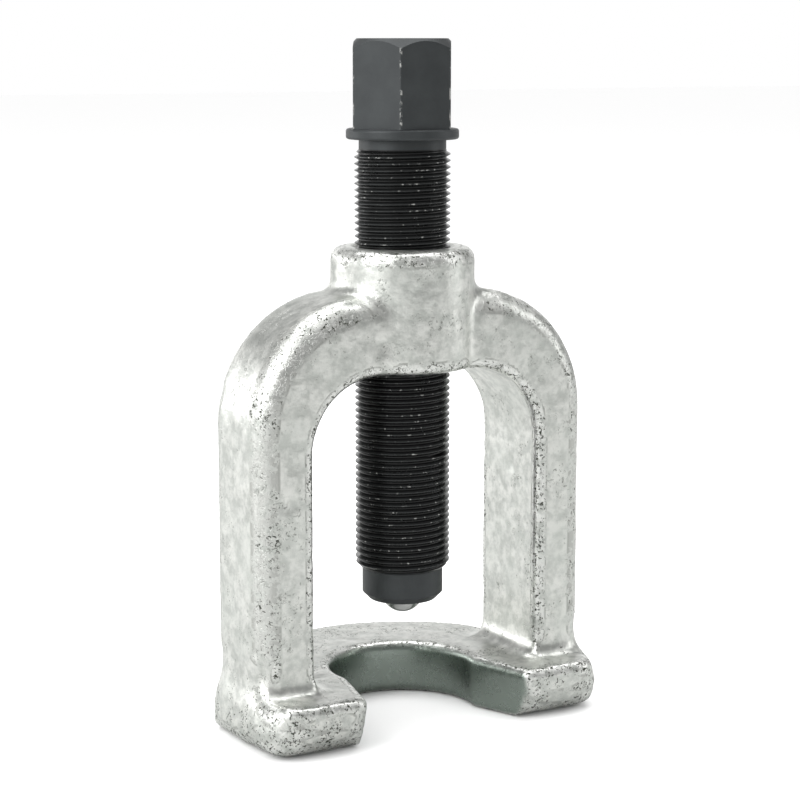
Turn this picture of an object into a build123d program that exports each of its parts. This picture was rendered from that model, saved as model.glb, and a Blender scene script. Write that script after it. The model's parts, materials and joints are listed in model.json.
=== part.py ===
from build123d import *
from math import cos, hypot, radians, sin, tan
import os

os.makedirs("parts", exist_ok=True)

# Ball joint separator: a forged yoke with a horseshoe fork, a forcing spindle screwed
# through the yoke's boss, and a thrust ball in the spindle's tip.
# Millimetres, +Z up. The origin is on the spindle's axis at the underside of the fork,
# X runs across the two legs and the fork's mouth opens towards -Y.

# ---- Driving dimensions ----

# Fork
fork_thickness = 12.5
fork_front = 21.8
fork_back_width = 21.5
pad_side_ledge = 1.4
pad_back_ledge = 2.4
pad_front_corner = 9.5
pad_back_corner = 7.5
throat_radius = 17.0
mouth_angle = 10.5
mouth_angle_below = 17.0
nose_radius = 7.0
keel_radius = 4.5
prong_tip_round = 3.0
fork_top_round = 1.6
fork_bottom_round = 1.4

# Legs and arch
window_width = 59.0
window_height = 71.0
window_corner = 17.0
leg_root_round = 4.0
leg_front_round = 3.0
leg_thickness = 14.0
leg_depth = 25.2
crown_thickness = 18.0
shoulder_radius = 29.0
outer_edge_round = 5.8
window_edge_round = 1.8

# Boss
boss_wall = 5.6
boss_height = 28.0
boss_rim_round = 2.6
boss_root_round = 2.5

# Thread of the spindle, and the bore's clearance round its crests
thread_diameter = 22.0
thread_pitch = 1.5
thread_depth = 0.92
thread_clearance = 0.1
ridge_overlap = 0.05

# Spindle
hex_across_flats = 22.0
hex_height = 20.2
hex_chamfer = 2.3
hex_clocking = -1.5
hex_edge_round = 0.5
collar_ledge = 0.2
collar_thickness = 2.4
collar_edge_round = 0.6
neck_relief = 0.08
neck_length = 2.4
threaded_length = 96.8
tip_relief = 0.65
tip_length = 7.3
tip_chamfer = 1.6
collar_lift = 24.3

# Thrust ball
ball_diameter = 10.0
ball_standout = 3.6
ball_clearance = 0.1

# ---- Places worked out from them ----
window_top = fork_thickness + window_height
arch_top = window_top + crown_thickness
boss_top = window_top + boss_height
leg_outer = window_width / 2 + leg_thickness
fork_width = 2 * (leg_outer + pad_side_ledge)
fork_ring_radius = throat_radius + fork_back_width
pad_back = leg_depth / 2 + pad_back_ledge
boss_diameter = thread_diameter + 2 * boss_wall

collar_bottom = boss_top + collar_lift
thread_top = collar_bottom - neck_length
thread_bottom = thread_top - threaded_length
crest_radius = thread_diameter / 2
root_radius = crest_radius - thread_depth
bore_radius = crest_radius + thread_clearance
countersink = thread_depth
neck_radius = root_radius - neck_relief
tip_radius = root_radius - tip_relief
tip_bottom = thread_bottom - tip_relief - tip_length
hex_corner_radius = hex_across_flats / (2 * cos(radians(30)))
collar_radius = hex_corner_radius + collar_ledge
hex_top = collar_bottom + collar_thickness + hex_height
ball_radius = ball_diameter / 2
ball_center = tip_bottom - ball_standout + ball_radius


def thread_half_width(radius, growth=0.0):
    """Half the 60 degree ridge's width at a radius, made wider by growth on each flank."""
    crest_half_width = thread_pitch / 16
    return crest_half_width + (crest_radius - radius) * tan(radians(30)) + growth


def thread_coil(start, turns, inner, outer, growth=0.0):
    """A right-hand helical ridge from the inner to the outer radius, starting at a height."""
    inner_half = thread_half_width(inner, growth)
    outer_half = thread_half_width(outer, growth)
    with BuildPart() as coil:
        with BuildLine() as path:
            Helix(
                pitch=thread_pitch,
                height=thread_pitch * turns,
                radius=inner,
                center=(0, 0, start),
            )
        with BuildSketch(Plane(origin=path.line @ 0, x_dir=(1, 0, 0), z_dir=path.line % 0)):
            Polygon(
                (0, -inner_half),
                (outer - inner, -outer_half),
                (outer - inner, outer_half),
                (0, inner_half),
                align=None,
            )
        sweep(path=path.line, is_frenet=True)
    return coil.part


# The spindle's ridge, with its ends trimmed to 45 degrees
with BuildPart() as trimmed_ridge:
    add(
        thread_coil(
            thread_bottom - thread_pitch,
            threaded_length / thread_pitch + 2,
            root_radius - ridge_overlap,
            crest_radius,
        )
    )
    with BuildSketch(Plane.XZ):
        Polygon(
            (0, thread_bottom),
            (root_radius, thread_bottom),
            (crest_radius + thread_depth, thread_bottom + 2 * thread_depth),
            (crest_radius + thread_depth, thread_top - 2 * thread_depth),
            (root_radius, thread_top),
            (0, thread_top),
            align=None,
        )
    revolve(axis=Axis.Z, mode=Mode.INTERSECT)
shank_ridge = trimmed_ridge.part

# ---- Horseshoe fork ----
# A thick plate: a ring round the back, and a pad under each leg that runs on to a prong.
def mouth_outline(side_angle):
    """The fork's mouth: a round throat whose sides lean apart towards the front."""
    reach = fork_front + throat_radius
    tangent = (throat_radius * cos(radians(side_angle)), -throat_radius * sin(radians(side_angle)))
    side_at_axis = throat_radius / cos(radians(side_angle))
    side_at_reach = side_at_axis + reach * tan(radians(side_angle))
    with BuildSketch() as outline:
        with BuildLine():
            ThreePointArc((-tangent[0], tangent[1]), (0, throat_radius), tangent)
            Polyline(tangent, (side_at_reach, -reach), (-side_at_reach, -reach), (-tangent[0], tangent[1]))
        make_face()
    return outline.sketch


mouth_top = mouth_outline(mouth_angle)
mouth_underside = mouth_outline(mouth_angle_below)

with BuildSketch() as plan:
    Circle(fork_ring_radius)
    with Locations((0, -fork_front)):
        Rectangle(
            2 * fork_ring_radius,
            fork_ring_radius,
            align=(Align.CENTER, Align.MAX),
            mode=Mode.SUBTRACT,
        )
        Rectangle(fork_width, fork_front + pad_back, align=(Align.CENTER, Align.MIN))
    for side in (0, -1):
        front_corners = plan.vertices().group_by(Axis.Y)[0]
        fillet(front_corners.sort_by(Axis.X)[side], radius=pad_front_corner)
        back_corners = plan.vertices().filter_by_position(Axis.Y, pad_back - 0.1, pad_back + 0.1)
        fillet(back_corners.sort_by(Axis.X)[side], radius=pad_back_corner)

with BuildPart() as fork:
    with BuildSketch():
        add(plan.sketch)
    extrude(amount=fork_thickness)
    # the mouth is a little wider underneath
    with BuildSketch():
        add(mouth_underside)
    with BuildSketch(Plane.XY.offset(fork_thickness)):
        add(mouth_top)
    loft(mode=Mode.SUBTRACT)
    steep_edges = fork.edges().filter_by(lambda edge: edge.bounding_box().size.Z > fork_thickness / 2)
    prong_tips = steep_edges.filter_by(
        lambda edge: edge.center().Y < 1 - fork_front and abs(edge.center().X) < fork_width / 2 - pad_front_corner
    )
    fillet(prong_tips, radius=prong_tip_round)
    fillet(fork.faces().sort_by(Axis.Z)[-1].edges(), radius=fork_top_round)
    fillet(fork.faces().sort_by(Axis.Z)[0].edges(), radius=fork_bottom_round)
    # underneath, the prongs' noses and the pads' sides are rounded off
    with BuildSketch(Plane.YZ) as nose:
        with Locations((-fork_front, 0)):
            Rectangle(nose_radius, nose_radius, align=(Align.MIN, Align.MIN))
        with Locations((-fork_front + nose_radius, nose_radius)):
            Circle(nose_radius, mode=Mode.SUBTRACT)
    extrude(amount=fork_width, both=True, mode=Mode.SUBTRACT)
    with BuildSketch(Plane.XZ) as keel:
        for side in (-1, 1):
            with Locations((side * (fork_width - keel_radius) / 2, keel_radius / 2)):
                Rectangle(keel_radius, keel_radius)
            with Locations((side * (fork_width / 2 - keel_radius), keel_radius)):
                Circle(keel_radius, mode=Mode.SUBTRACT)
    extrude(amount=fork_width, both=True, mode=Mode.SUBTRACT)


# A hollow flare joins each leg's front to the pad that it stands on. It turns with the leg's
# round outer corner and ends where the pad's own edge is rounded.
with BuildPart() as leg_flares:
    for side in (-1, 1):
        corner_x = side * (leg_outer - outer_edge_round)
        corner_y = outer_edge_round - leg_depth / 2
        with BuildSketch(Plane.YZ.offset(corner_x)) as flare_section:
            with Locations((-leg_depth / 2, fork_thickness)):
                Rectangle(leg_front_round, leg_front_round, align=(Align.MAX, Align.MIN))
            with Locations((-leg_depth / 2 - leg_front_round, fork_thickness + leg_front_round)):
                Circle(leg_front_round, mode=Mode.SUBTRACT)
            with Locations((-leg_depth / 2, fork_thickness)):
                Rectangle(outer_edge_round, leg_front_round, align=(Align.MIN, Align.MIN))
        extrude(amount=-side * (leg_thickness - outer_edge_round))
        with BuildSketch(Plane.YZ.offset(corner_x)):
            add(flare_section.sketch_local)
        revolve(axis=Axis((corner_x, corner_y, 0), (0, 0, side)), revolution_arc=90)
    with BuildSketch(Plane.XY.offset(fork_thickness)):
        add(plan.sketch)
        offset(amount=-fork_top_round, kind=Kind.INTERSECTION)
    extrude(amount=leg_front_round, mode=Mode.INTERSECT)

# ---- Yoke ----
# An inverted U in one forging with the fork, its outer edges well rounded, with a round
# boss through the crown for the spindle.
def on_boss_side(edge):
    """Whether an edge lies where the boss's round side meets the arch."""
    points = [edge.position_at(share) for share in (0.1, 0.5, 0.9)]
    on_side = all(abs(hypot(point.X, point.Y) - boss_diameter / 2) < 0.05 for point in points)
    own_seam = edge.geom_type == GeomType.LINE and abs(edge.center().Y) < 0.05
    return on_side and not own_seam and window_top < edge.center().Z < boss_top - boss_rim_round


def on_window_rim(edge):
    """Whether an edge outlines the window on the yoke's front or back."""
    center = edge.center()
    in_window = abs(center.X) < window_width / 2 + 0.05 and center.Z < window_top + 0.05
    return in_window and abs(center.Y) > leg_depth / 2 - 0.05 and center.Z > fork_thickness + 0.05


with BuildPart() as yoke:
    with BuildSketch(Plane.XZ) as arch_outline:
        with Locations((0, fork_thickness / 2)):
            Rectangle(2 * leg_outer, arch_top - fork_thickness / 2, align=(Align.CENTER, Align.MIN))
        fillet(arch_outline.vertices().group_by(Axis.Y)[-1], radius=shoulder_radius)
    extrude(amount=leg_depth / 2, both=True)
    outline_edges = yoke.faces().filter_by(Axis.Y).edges()
    fillet(outline_edges.filter_by_position(Axis.Z, fork_thickness, arch_top + 1), radius=outer_edge_round)
    with BuildSketch(Plane.XY.offset(window_top - boss_root_round)):
        Circle(boss_diameter / 2)
    extrude(amount=boss_height + boss_root_round)
    fillet(yoke.edges().filter_by(on_boss_side), radius=boss_root_round)
    fillet(yoke.edges().sort_by(Axis.Z)[-1], radius=boss_rim_round)
    with BuildSketch(Plane.XZ) as window:
        with Locations((0, fork_thickness)):
            Rectangle(window_width, window_height, align=(Align.CENTER, Align.MIN))
        fillet(window.vertices().group_by(Axis.Y)[-1], radius=window_corner)
        fillet(window.vertices().group_by(Axis.Y)[0], radius=leg_root_round)
        Rectangle(
            window_width - 2 * leg_root_round,
            window_top - window_corner,
            align=(Align.CENTER, Align.MIN),
        )
    extrude(amount=boss_diameter, both=True, mode=Mode.SUBTRACT)
    fillet(yoke.edges().filter_by(on_window_rim), radius=window_edge_round)
    add(fork.part)
    add(leg_flares.part)
    # bore, clear of the spindle's crests, with a countersink at each end
    with Locations((0, 0, window_top)):
        Cylinder(
            bore_radius,
            boss_height,
            align=(Align.CENTER, Align.CENTER, Align.MIN),
            mode=Mode.SUBTRACT,
        )
    bore_rims = yoke.edges().filter_by(GeomType.CIRCLE)
    bore_rims = bore_rims.filter_by(lambda edge: abs(edge.radius - bore_radius) < 0.01)
    chamfer(bore_rims, length=countersink)

yoke.part.label = "yoke"
export_step(yoke.part, "parts/yoke.step")


# ---- Spindle ----
# One black steel piece: hexagon, collar, undercut neck, threaded shank and plain tip.
with BuildPart() as spindle:
    with BuildSketch(Plane.XZ):
        Polygon(
            (0, tip_bottom),
            (tip_radius - tip_chamfer, tip_bottom),
            (tip_radius, tip_bottom + tip_chamfer),
            (tip_radius, thread_bottom - tip_relief),
            (root_radius, thread_bottom),
            (root_radius, thread_top),
            (neck_radius, thread_top),
            (neck_radius, collar_bottom),
            (collar_radius, collar_bottom),
            (collar_radius, collar_bottom + collar_thickness),
            (0, collar_bottom + collar_thickness),
            align=None,
        )
    revolve(axis=Axis.Z)
    collar_rims = spindle.edges().filter_by(GeomType.CIRCLE)
    collar_rims = collar_rims.filter_by(lambda edge: abs(edge.radius - collar_radius) < 0.01)
    fillet(collar_rims, radius=collar_edge_round)
    with BuildSketch(Plane.XY.offset(collar_bottom + collar_thickness)):
        RegularPolygon(hex_across_flats / 2, 6, major_radius=False, rotation=hex_clocking)
    extrude(amount=hex_height)
    hex_edges = spindle.edges().filter_by(Axis.Z).filter_by(lambda edge: edge.length > hex_height / 2)
    fillet(hex_edges, radius=hex_edge_round)
    # the hexagon's six top corners are turned off at 45 degrees
    with BuildSketch(Plane.XZ):
        Polygon(
            (hex_corner_radius - hex_chamfer, hex_top),
            (hex_corner_radius, hex_top - hex_chamfer),
            (hex_corner_radius + hex_chamfer, hex_top - hex_chamfer),
            (hex_corner_radius + hex_chamfer, hex_top + hex_chamfer),
            (hex_corner_radius - hex_chamfer, hex_top + hex_chamfer),
            align=None,
        )
    revolve(axis=Axis.Z, mode=Mode.SUBTRACT)
    add(shank_ridge)
    # ball seat, closed to less than the ball's diameter by its lip
    with Locations((0, 0, ball_center)):
        Sphere(ball_radius + ball_clearance, mode=Mode.SUBTRACT)

spindle.part.label = "spindle"
export_step(spindle.part, "parts/spindle.step")


# ---- Thrust ball ----
# It is held loosely in the spindle's tip and stays still on the stud while the spindle turns.
with BuildPart() as ball:
    with Locations((0, 0, ball_center)):
        Sphere(ball_radius)

ball.part.label = "thrust_ball"
export_step(ball.part, "parts/thrust_ball.step")
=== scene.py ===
import json
import math

import bmesh
import bpy
from mathutils import Matrix, Vector, noise

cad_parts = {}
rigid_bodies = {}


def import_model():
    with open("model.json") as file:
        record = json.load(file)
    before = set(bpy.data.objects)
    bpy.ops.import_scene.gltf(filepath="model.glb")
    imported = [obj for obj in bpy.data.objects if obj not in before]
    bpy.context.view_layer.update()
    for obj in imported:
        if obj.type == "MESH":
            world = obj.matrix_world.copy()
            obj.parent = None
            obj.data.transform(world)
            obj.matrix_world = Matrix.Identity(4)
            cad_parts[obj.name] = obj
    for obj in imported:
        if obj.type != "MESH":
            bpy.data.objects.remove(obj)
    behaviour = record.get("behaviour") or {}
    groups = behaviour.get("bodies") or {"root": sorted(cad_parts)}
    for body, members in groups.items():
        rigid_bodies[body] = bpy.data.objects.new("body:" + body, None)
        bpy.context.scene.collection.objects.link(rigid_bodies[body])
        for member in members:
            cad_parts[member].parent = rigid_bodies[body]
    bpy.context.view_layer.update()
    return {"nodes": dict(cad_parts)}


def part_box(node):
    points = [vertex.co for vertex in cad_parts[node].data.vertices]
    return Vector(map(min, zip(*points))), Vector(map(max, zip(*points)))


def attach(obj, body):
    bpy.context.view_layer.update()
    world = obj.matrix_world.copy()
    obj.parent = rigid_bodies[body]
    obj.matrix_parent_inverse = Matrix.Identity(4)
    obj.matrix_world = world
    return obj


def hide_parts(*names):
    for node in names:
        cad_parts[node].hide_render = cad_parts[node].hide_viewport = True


bpy.ops.object.select_all(action="SELECT")
bpy.ops.object.delete()
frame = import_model()


# The yoke is one drop forging of steel: fork, two legs, arch and boss. Its skin is left as
# it came from the die, faintly hammered and pitted, and plated with bright zinc. The bore
# through the boss is machined after forging, so its rim is crisp.
MILLIMETRE = 0.001
WINDOW_TOP = 0.0835
SKIN_VOXEL = 0.00078
SKIN_SMOOTH_STEPS = 3
EDGE_CURVE_START = 0.05
EDGE_CURVE_FULL = 0.45
EDGE_CURVE_SPREAD = 3

LEDGE_SIDE = 0.0405
LEDGE_LOW = 0.007
LEDGE_HIGH = 0.021
LEDGE_SMOOTH_STEPS = 60
TOE_SIDE = 0.0215
TOE_TOP = 0.0062
TOE_BACK = -0.004
TOE_SMOOTH_STEPS = 45

MOUTH_HALF_WIDTH = 0.0262
MOUTH_BACK = 0.018
MOUTH_TOP = 0.0122
GROUND_AND_SHADE_FACING = 0.60
GROUND_AND_SHADE_FACING_BLEND = 0.25

SWELLS_PER_METRE = 70.0
SWELL_HEIGHT = 0.10
DIMPLES_PER_METRE = 260.0
DIMPLE_SHIFT = (3.1, 0, 0)
DIMPLE_HEIGHT = 0.035
DENTS_PER_METRE = 170.0
DENT_SHIFT = (0, 7.7, 0)
DENT_START = 0.32
DENT_DEPTH = 0.5

BORE_RADIUS = 0.0111
BORE_COUNTERSINK = 0.00092
BORE_PLUG_RADIUS = 0.0123
BORE_PLUG_SIDES = 64
BORE_SIDES = 160
CUTTER_REACH = 0.006

ZINC_DULL = (0.56, 0.575, 0.545)
ZINC_PALE = (0.84, 0.845, 0.81)
ZINC_CLOUD = (0.66, 0.69, 0.65)
ZINC_WORN = (0.90, 0.905, 0.88)
SCALE_AND_SHADE_BLACK = (0.10, 0.105, 0.09)
GROUND_STEEL_AND_SHADE = (0.31, 0.355, 0.32)
FOOT_SHADE_LOW = 0.009
FOOT_SHADE_HIGH = 0.016


class Value:
    """A shader socket that takes part in Python arithmetic."""

    def __init__(self, finish, socket):
        self.finish = finish
        self.socket = socket

    def _math(self, operation, *values):
        return self.finish.node("ShaderNodeMath", {"operation": operation}, dict(enumerate(values)))

    def __add__(self, other):
        return self._math("ADD", self, other)

    def __radd__(self, other):
        return self._math("ADD", other, self)

    def __sub__(self, other):
        return self._math("SUBTRACT", self, other)

    def __rsub__(self, other):
        return self._math("SUBTRACT", other, self)

    def __mul__(self, other):
        return self._math("MULTIPLY", self, other)

    def __rmul__(self, other):
        return self._math("MULTIPLY", other, self)

    def size(self):
        return self._math("ABSOLUTE", self)

    def or_more(self, other):
        return self._math("MAXIMUM", self, other)

    def between(self, low, high):
        """0 below low, 1 above high, and smooth in between."""
        inputs = {"Value": self, "From Min": low, "From Max": high}
        return self.finish.node("ShaderNodeMapRange", {"interpolation_type": "SMOOTHSTEP"}, inputs)


class Finish:
    """The nodes of a material, or of the room round the object."""

    def __init__(self, owner, coordinates="Object"):
        owner.use_nodes = True
        self.owner = owner
        self.tree = owner.node_tree
        self.tree.nodes.clear()
        self.place = self.node("ShaderNodeTexCoord", output=coordinates)

    def node(self, kind, settings=None, inputs=None, output=0):
        """Makes a node: its settings first, then the values and links of its sockets."""
        made = self.tree.nodes.new(kind)
        for key, setting in (settings or {}).items():
            setattr(made, key, setting)
        for key, value in (inputs or {}).items():
            if isinstance(value, Value):
                self.tree.links.new(value.socket, made.inputs[key])
            else:
                made.inputs[key].default_value = value
        return None if output is None else Value(self, made.outputs[output])

    def noise(self, size, detail=3.0, roughness=0.5, shift=0.0):
        """Smooth noise from 0 to 1, with blobs of about that size in metres."""
        inputs = {"Vector": self.place, "Location": (shift, shift, shift)}
        moved = self.node("ShaderNodeMapping", {}, inputs)
        inputs = {"Vector": moved, "Scale": 1 / size, "Detail": detail, "Roughness": roughness}
        return self.node("ShaderNodeTexNoise", {}, inputs)

    def vector(self, operation, first, second=None, output=0):
        inputs = {0: first} if second is None else {0: first, 1: second}
        return self.node("ShaderNodeVectorMath", {"operation": operation}, inputs, output)

    def height(self):
        """How high the point is, in metres, or how far upward a direction looks."""
        return self.node("ShaderNodeSeparateXYZ", {}, {"Vector": self.place}, "Z")

    def mix(self, factor, first, second):
        """The first colour where the factor is 0, and the second where it is 1."""
        colors = [c if isinstance(c, Value) else (*c, 1.0) for c in (first, second)]
        inputs = {0: factor, 6: colors[0], 7: colors[1]}
        return self.node("ShaderNodeMix", {"data_type": "RGBA"}, inputs, 2)

    def bump(self, relief, distance):
        return self.node("ShaderNodeBump", {}, {"Height": relief, "Distance": distance})

    def shade(self, inputs):
        surface = self.node("ShaderNodeBsdfPrincipled", {}, inputs)
        self.node("ShaderNodeOutputMaterial", {}, {"Surface": surface}, None)
        return self.owner


def new_object(name, data):
    made = bpy.data.objects.new(name, data)
    bpy.context.scene.collection.objects.link(made)
    return made


def new_mesh(name, form):
    """The bmesh as a mesh. The bmesh is gone afterwards."""
    mesh = bpy.data.meshes.new(name)
    form.to_mesh(mesh)
    form.free()
    return mesh


def settled(mesh, name, kind, settings):
    """The mesh after that modifier, as a new mesh."""
    raw = new_object("raw_" + name, mesh)
    modifier = raw.modifiers.new(kind.lower(), kind)
    for key, setting in settings.items():
        setattr(modifier, key, setting)
    graph = bpy.context.evaluated_depsgraph_get()
    graph.update()
    done = bpy.data.meshes.new_from_object(raw.evaluated_get(graph), depsgraph=graph)
    bpy.data.objects.remove(raw)
    done.name = name
    return done


def smooth(form, area, steps):
    axes = {"use_axis_x": True, "use_axis_y": True, "use_axis_z": True}
    for _ in range(steps):
        bmesh.ops.smooth_vert(form, verts=area, factor=0.5, **axes)


def share(value, start, span):
    """0 at the start, 1 a span further on, and held to that range."""
    return min(max((value - start) / span, 0.0), 1.0)


def neighbours(vert):
    return [edge.other_vert(vert) for edge in vert.link_edges]


# The forging without its bore, closed up so that its skin can be worked in one sheet.
yoke_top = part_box("yoke")[1].z
blank = bmesh.new()
blank.from_mesh(frame["nodes"]["yoke"].data)
bmesh.ops.remove_doubles(blank, verts=blank.verts, dist=1e-6)
bmesh.ops.create_cone(
    blank, cap_ends=True, segments=BORE_PLUG_SIDES,
    radius1=BORE_PLUG_RADIUS, radius2=BORE_PLUG_RADIUS, depth=yoke_top - WINDOW_TOP,
    matrix=Matrix.Translation((0, 0, (yoke_top + WINDOW_TOP) / 2)),
)
blank_mesh = new_mesh("yoke_blank", blank)
skin_mesh = settled(blank_mesh, "yoke_skin", "REMESH", {"mode": "VOXEL", "voxel_size": SKIN_VOXEL})

skin = bmesh.new()
skin.from_mesh(skin_mesh)
smooth(skin, skin.verts, SKIN_SMOOTH_STEPS)

# The legs' outer faces run into the pads in a soft slope, and the toes are worn round below.
ledge = [
    v for v in skin.verts
    if abs(v.co.x) > LEDGE_SIDE and LEDGE_LOW < v.co.z < LEDGE_HIGH
]
toes = [
    v for v in skin.verts
    if abs(v.co.x) > TOE_SIDE and v.co.y < TOE_BACK and v.co.z < TOE_TOP
]
smooth(skin, ledge, LEDGE_SMOOTH_STEPS)
smooth(skin, toes, TOE_SMOOTH_STEPS)
skin.normal_update()

# The "edge" attribute is 1 on sharp outer edges and 0 on flats and in hollows.
edge_layer = skin.verts.layers.float.new("edge")
curve = {}
for vert in skin.verts:
    steps = [other.co - vert.co for other in neighbours(vert)]
    bends = [-2 * step.dot(vert.normal) / step.length_squared for step in steps]
    curve[vert] = sum(bends) / len(bends)
for _ in range(EDGE_CURVE_SPREAD):
    curve = {
        vert: (curve[vert] + sum(curve[other] for other in neighbours(vert)))
        / (1 + len(vert.link_edges))
        for vert in skin.verts
    }
for vert in skin.verts:
    curved = curve[vert] * MILLIMETRE
    vert[edge_layer] = share(curved, EDGE_CURVE_START, EDGE_CURVE_FULL - EDGE_CURVE_START)

# The mouth's wall is ground after forging, so it is smoother than the skin, and it is coloured
# darker as painted shade in the deep throat. It faces the throat's middle, or the mouth's middle
# line where the prongs run straight.
ground_and_shade_layer = skin.verts.layers.float.new("ground_and_shade")
for vert in skin.verts:
    inward = Vector((-vert.co.x, min(vert.co.y, 0) - vert.co.y, 0))
    facing = inward.normalized().dot(vert.normal)
    in_mouth = abs(vert.co.x) < MOUTH_HALF_WIDTH and vert.co.y < MOUTH_BACK
    on_wall = in_mouth and vert.co.z < MOUTH_TOP
    vert[ground_and_shade_layer] = share(facing, GROUND_AND_SHADE_FACING, GROUND_AND_SHADE_FACING_BLEND) if on_wall else 0.0

# The hammered skin: slow swells from the die and small dents from scale.
for vert in skin.verts:
    at = vert.co
    swell = noise.noise(at * SWELLS_PER_METRE)
    dimple = noise.noise(at * DIMPLES_PER_METRE + Vector(DIMPLE_SHIFT))
    dent = max(0.0, noise.noise(at * DENTS_PER_METRE + Vector(DENT_SHIFT)) - DENT_START)
    lift = (1 - vert[ground_and_shade_layer]) * (DIMPLE_HEIGHT * dimple - DENT_DEPTH * dent)
    lift += SWELL_HEIGHT * swell
    vert.co = at + vert.normal * lift * MILLIMETRE
skin.to_mesh(skin_mesh)
skin.free()

# The bore is cut last, with a countersink at each end.
rim = BORE_RADIUS + BORE_COUNTERSINK
profile = [
    (0, WINDOW_TOP - CUTTER_REACH), (rim + CUTTER_REACH, WINDOW_TOP - CUTTER_REACH),
    (rim, WINDOW_TOP), (BORE_RADIUS, WINDOW_TOP + BORE_COUNTERSINK),
    (BORE_RADIUS, yoke_top - BORE_COUNTERSINK), (rim, yoke_top),
    (rim + CUTTER_REACH, yoke_top + CUTTER_REACH), (0, yoke_top + CUTTER_REACH),
]
cutter = bmesh.new()
corners = [cutter.verts.new((radius, 0, up)) for radius, up in profile]
sides = [cutter.edges.new(pair) for pair in zip(corners, corners[1:])]
bmesh.ops.spin(
    cutter, geom=corners + sides, axis=(0, 0, 1), cent=(0, 0, 0), angle=2 * math.pi,
    steps=BORE_SIDES, use_merge=True,
)
bmesh.ops.remove_doubles(cutter, verts=cutter.verts, dist=1e-6)
bmesh.ops.recalc_face_normals(cutter, faces=cutter.faces)
bore_cutter = new_object("bore_cutter", new_mesh("bore_cutter", cutter))
cut = {"operation": "DIFFERENCE", "object": bore_cutter, "solver": "EXACT"}
yoke_mesh = settled(skin_mesh, "yoke_forging", "BOOLEAN", cut)
bpy.data.objects.remove(bore_cutter)
for face in yoke_mesh.polygons:
    face.use_smooth = True

zinc = Finish(bpy.data.materials.new("zinc_plated_forging"))
edge = zinc.node("ShaderNodeAttribute", {"attribute_name": "edge"}, output="Fac")
ground_and_shade = zinc.node("ShaderNodeAttribute", {"attribute_name": "ground_and_shade"}, output="Fac")
forged = 1 - ground_and_shade
# Painted shade: the dark marks are made denser low on the feet, towards the floor.
foot_shade = 1 - zinc.height().between(FOOT_SHADE_LOW, FOOT_SHADE_HIGH)
near_edge = edge.between(0.02, 0.10) * 0.5 + edge.between(0.10, 0.40) * 0.5

# The plating is clouded, and paler where edges are rubbed.
swell = zinc.noise(0.011, 2.0)
mottle = zinc.noise(0.0026, 4.0, 0.62, 0.31)
cloud = zinc.mix(mottle.between(0.32, 0.68), ZINC_DULL, ZINC_PALE)
cloud = zinc.mix(swell.between(0.35, 0.7) * 0.35, cloud, ZINC_CLOUD)
worn = zinc.mix(near_edge * mottle.between(0.35, 0.6) * 0.7, cloud, ZINC_WORN)

# Dark marks of scale: pits and creases that gather by the edges, and a broken seam where a
# rounded edge starts. Low on the feet the marks are thickened as painted shade under the tool.
pits = zinc.noise(0.00070, 2.0, 0.5, 0.53).between(0.58, 0.67)
wrinkle = (zinc.noise(0.0013, 2.0, 0.6, 0.68) - 0.5).size()
wrinkle = 1 - wrinkle.between(0.006, 0.030)
crease = wrinkle * zinc.noise(0.0015, 2.0, 0.5, 0.93).between(0.47, 0.57)
patches = zinc.noise(0.0060, 3.0, 0.6, 0.19).between(0.46, 0.62)
gathered_scale_and_shade = patches * 0.45 + near_edge * 0.8 + foot_shade * (0.25 + patches * 0.4) + 0.05
scale_and_painted_shade = (pits.or_more(crease) * gathered_scale_and_shade).between(0.10, 0.85) * forged
seam = edge.between(0.015, 0.050) * (1 - edge.between(0.060, 0.140)) * mottle.between(0.46, 0.58)
scale_and_painted_shade = scale_and_painted_shade.or_more(seam * forged * 0.45)
# This dark colour is partly scale and partly painted shade low on the feet.
plated = zinc.mix(scale_and_painted_shade, worn, SCALE_AND_SHADE_BLACK)
# Painted shade: the ground wall of the mouth is coloured darker, as the throat's shadow.
plated = zinc.mix(ground_and_shade, plated, GROUND_STEEL_AND_SHADE)

grain = zinc.noise(0.0008, 3.0, 0.6, 0.77)
relief = mottle * 0.7 + grain * 0.26 - wrinkle * near_edge * 0.35 - scale_and_painted_shade * 0.5
relief = relief * (0.15 + forged * 0.85)
zinc_plate = zinc.shade({
    "Base Color": plated,
    "Metallic": 0.93 + ground_and_shade * 0.05,
    "Roughness": 0.22 + mottle * 0.20 + scale_and_painted_shade * 0.25 - ground_and_shade * 0.04,
    "Normal": zinc.bump(relief, 0.16 * MILLIMETRE),
})
yoke_mesh.materials.clear()
yoke_mesh.materials.append(zinc_plate)
yoke = new_object("yoke_forging", yoke_mesh)
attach(yoke, "yoke")
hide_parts("yoke")


# The spindle is turned and threaded from one steel bar, with a hexagon forged and milled on
# top. It is blackened and oiled, and rubbed bright in flecks on the thread's crests and down
# the hexagon's corners.
CREST_RADIUS = 0.0110
ROOT_RADIUS = 0.0102
THREAD_TOP = 0.1334
THREAD_BOTTOM = 0.0366
HEX_BOTTOM = 0.1382
HEX_CORNER_RADIUS = 0.01262
BLACK_DEEP = (0.036, 0.040, 0.042)
BLACK_PALE = (0.046, 0.051, 0.053)
BLACK_THREAD = (0.020, 0.020, 0.019)
ROOT_PAINTED_SHADE = (0.006, 0.006, 0.006)
BARE_STEEL = (0.50, 0.50, 0.48)

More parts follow.
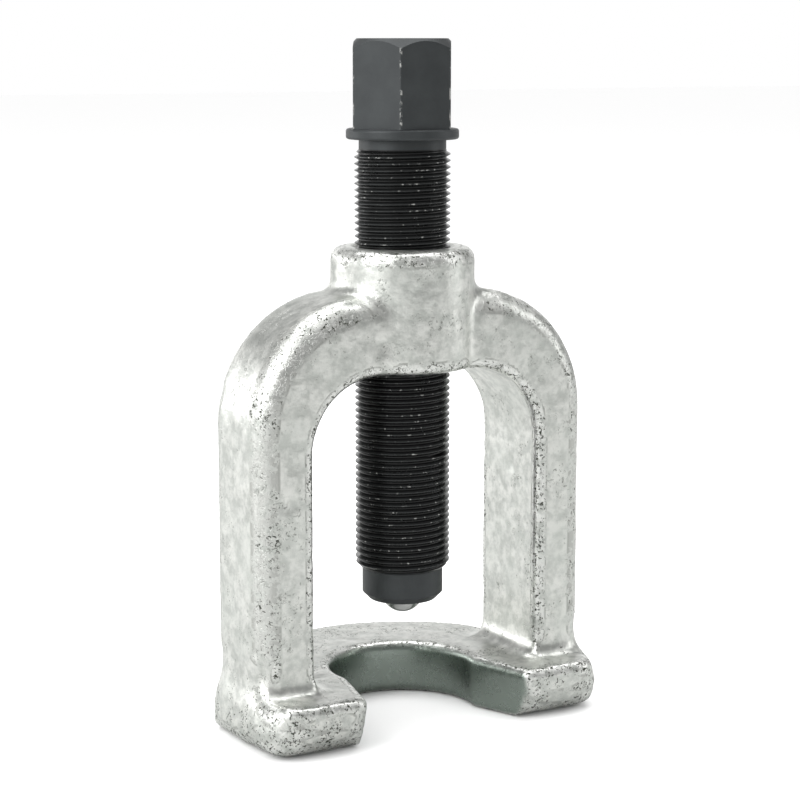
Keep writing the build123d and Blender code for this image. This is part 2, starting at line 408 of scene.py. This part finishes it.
black = Finish(bpy.data.materials.new("black_steel"))
up = black.height()
radius = black.vector("LENGTH", black.vector("MULTIPLY", black.place, (1, 1, 0)), output="Value")
above_tip = up.between(THREAD_BOTTOM - 0.0005, THREAD_BOTTOM)
below_neck = 1 - up.between(THREAD_TOP, THREAD_TOP + 0.0005)
threaded = above_tip * below_neck
on_hexagon = up.between(HEX_BOTTOM, HEX_BOTTOM + 0.0002)
on_crest = radius.between(CREST_RADIUS - 0.00020, CREST_RADIUS - 0.00002) * threaded
on_corner = radius.between(HEX_CORNER_RADIUS - 0.00012, HEX_CORNER_RADIUS - 0.00003) * on_hexagon
# Painted shade: the thread's roots are darkened.
root_shade = (1 - radius.between(ROOT_RADIUS, CREST_RADIUS - 0.0002)) * threaded
flecks = black.noise(0.0013, 3.0, 0.7, 0.4).between(0.58, 0.70)
chips = black.noise(0.0024, 3.0, 0.7, 1.7).between(0.50, 0.64)
rubbed = (on_crest * flecks).or_more(on_corner * chips)
oil = black.noise(0.006, 3.0, 0.55, 0.9)
grain = black.noise(0.0006, 2.0, 0.5, 0.1)
tone = black.mix(oil.between(0.25, 0.75), BLACK_DEEP, BLACK_PALE)
tone = black.mix(threaded * 0.6, tone, BLACK_THREAD)
# Painted shade in the thread's roots.
tone = black.mix(root_shade * 0.8, tone, ROOT_PAINTED_SHADE)
tone = black.mix(rubbed * 0.8, tone, BARE_STEEL)
black_steel = black.shade({
    "Base Color": tone,
    "Metallic": 0.45,
    "Roughness": 0.37 + oil * 0.10 + grain * 0.06 - threaded * 0.20,
    "Normal": black.bump(grain, 0.012 * MILLIMETRE),
})
spindle_mesh = frame["nodes"]["spindle"].data
spindle_mesh.materials.clear()
spindle_mesh.materials.append(black_steel)


# The thrust ball is a hardened steel bearing ball, held in the spindle's tip. It is
# polished, with a faint haze from use.
BALL_HAZED = (0.60, 0.60, 0.59)
BALL_BRIGHT = (0.78, 0.78, 0.77)

polish = Finish(bpy.data.materials.new("polished_steel"))
haze = polish.noise(0.0016, 4.0, 0.6, 0.6)
scratches = polish.noise(0.0004, 2.0, 0.5, 0.2)
polished_steel = polish.shade({
    "Base Color": polish.mix(haze, BALL_HAZED, BALL_BRIGHT),
    "Metallic": 1.0,
    "Roughness": 0.14 + haze * 0.16,
    "Normal": polish.bump(scratches, 0.003 * MILLIMETRE),
})
ball_mesh = frame["nodes"]["thrust_ball"].data
ball_mesh.materials.clear()
ball_mesh.materials.append(polished_steel)


# The studio: a pale paper floor, a pale room that is brightest behind and on the left, and
# large soft lamps at the left, above, at the right and behind.
FLOOR_REACH = 6.0
FLOOR_SEEN = (1.0, 1.0, 1.0, 1.0)
FLOOR_REFLECTED = (0.50, 0.505, 0.50, 1.0)
ROOM_WHITE = (1.0, 1.0, 1.0, 1.0)
BACKDROP_SIDE = (-0.35, 0.94, 0.0)
ROOM_DIM = 0.30
ROOM_BACKDROP = 0.95
ROOM_CEILING = 0.5
LAMP_AIM = Vector((0, 0, 0.075))
LAMPS = [
    ("lamp_left", (-1.1, -0.25, 0.75), (0.9, 1.2), 13.0),
    ("lamp_above", (0.15, 0.25, 1.25), (1.3, 0.9), 10.0),
    ("lamp_right", (1.2, -0.55, 0.55), (0.5, 1.1), 3.0),
    ("lamp_behind", (-1.0, 1.25, 0.22), (0.7, 0.5), 2.2),
]

floor_form = bmesh.new()
bmesh.ops.create_grid(floor_form, x_segments=2, y_segments=2, size=FLOOR_REACH)
floor = new_object("floor", new_mesh("floor", floor_form))
paper = Finish(bpy.data.materials.new("paper"))
seen = paper.node("ShaderNodeBsdfDiffuse", {}, {"Color": FLOOR_SEEN})
reflected = paper.node("ShaderNodeBsdfDiffuse", {}, {"Color": FLOOR_REFLECTED})
direct = paper.node("ShaderNodeLightPath", output="Is Camera Ray")
either = paper.node("ShaderNodeMixShader", {}, {0: direct, 1: reflected, 2: seen})
paper.node("ShaderNodeOutputMaterial", {}, {"Surface": either}, None)
floor.data.materials.append(paper.owner)

world = bpy.data.worlds.new("room")
bpy.context.scene.world = world
room = Finish(world, "Generated")
upward = room.height()
backward = room.vector("DOT_PRODUCT", room.place, BACKDROP_SIDE, output="Value")
backdrop = backward.between(-0.15, 0.55) * (1 - upward.between(0.20, 0.44))
ceiling = upward.between(0.62, 0.92)
glow = ROOM_DIM + backdrop * ROOM_BACKDROP + ceiling * ROOM_CEILING
to_camera = room.node("ShaderNodeLightPath", output="Is Camera Ray")
even = to_camera.or_more(room.node("ShaderNodeLightPath", output="Is Diffuse Ray"))
strength = glow * (1 - even) + even
walls = room.node("ShaderNodeBackground", {}, {"Color": ROOM_WHITE, "Strength": strength})
room.node("ShaderNodeOutputWorld", {}, {"Surface": walls}, None)

for name, place, sides, power in LAMPS:
    light = bpy.data.lights.new(name, "AREA")
    light.shape = "RECTANGLE"
    light.size, light.size_y = sides
    light.energy = power
    lamp = new_object(name, light)
    lamp.location = place
    lamp.rotation_euler = (LAMP_AIM - Vector(place)).to_track_quat("-Z", "Y").to_euler()
    lamp.visible_camera = False
bpy.context.scene.view_settings.view_transform = "Standard"


# The camera stands before the fork's mouth and to its left, a little above the tool, and
# looks down at the spindle between the boss and the fork.
CAMERA_TURN = math.radians(30.0)
CAMERA_TILT = math.radians(9.4)
CAMERA_DISTANCE = 0.4996
AIM_HEIGHT = 0.0755
AIM_ASIDE = -0.00056
SENSOR_WIDTH = 36.0
FOCAL_LENGTH = 96.75
NEAREST_SEEN = 0.01

lens = bpy.data.cameras.new("camera")
lens.sensor_width = SENSOR_WIDTH
lens.lens = FOCAL_LENGTH
lens.clip_start = NEAREST_SEEN
camera = new_object("camera", lens)
across = Vector((math.cos(CAMERA_TURN), -math.sin(CAMERA_TURN), 0))
ahead = Vector((math.sin(CAMERA_TURN), math.cos(CAMERA_TURN), 0))
sight = ahead * math.cos(CAMERA_TILT) - Vector((0, 0, math.sin(CAMERA_TILT)))
camera.location = across * AIM_ASIDE + Vector((0, 0, AIM_HEIGHT)) - sight * CAMERA_DISTANCE
camera.rotation_euler = sight.to_track_quat("-Z", "Y").to_euler()
bpy.context.scene.camera = camera
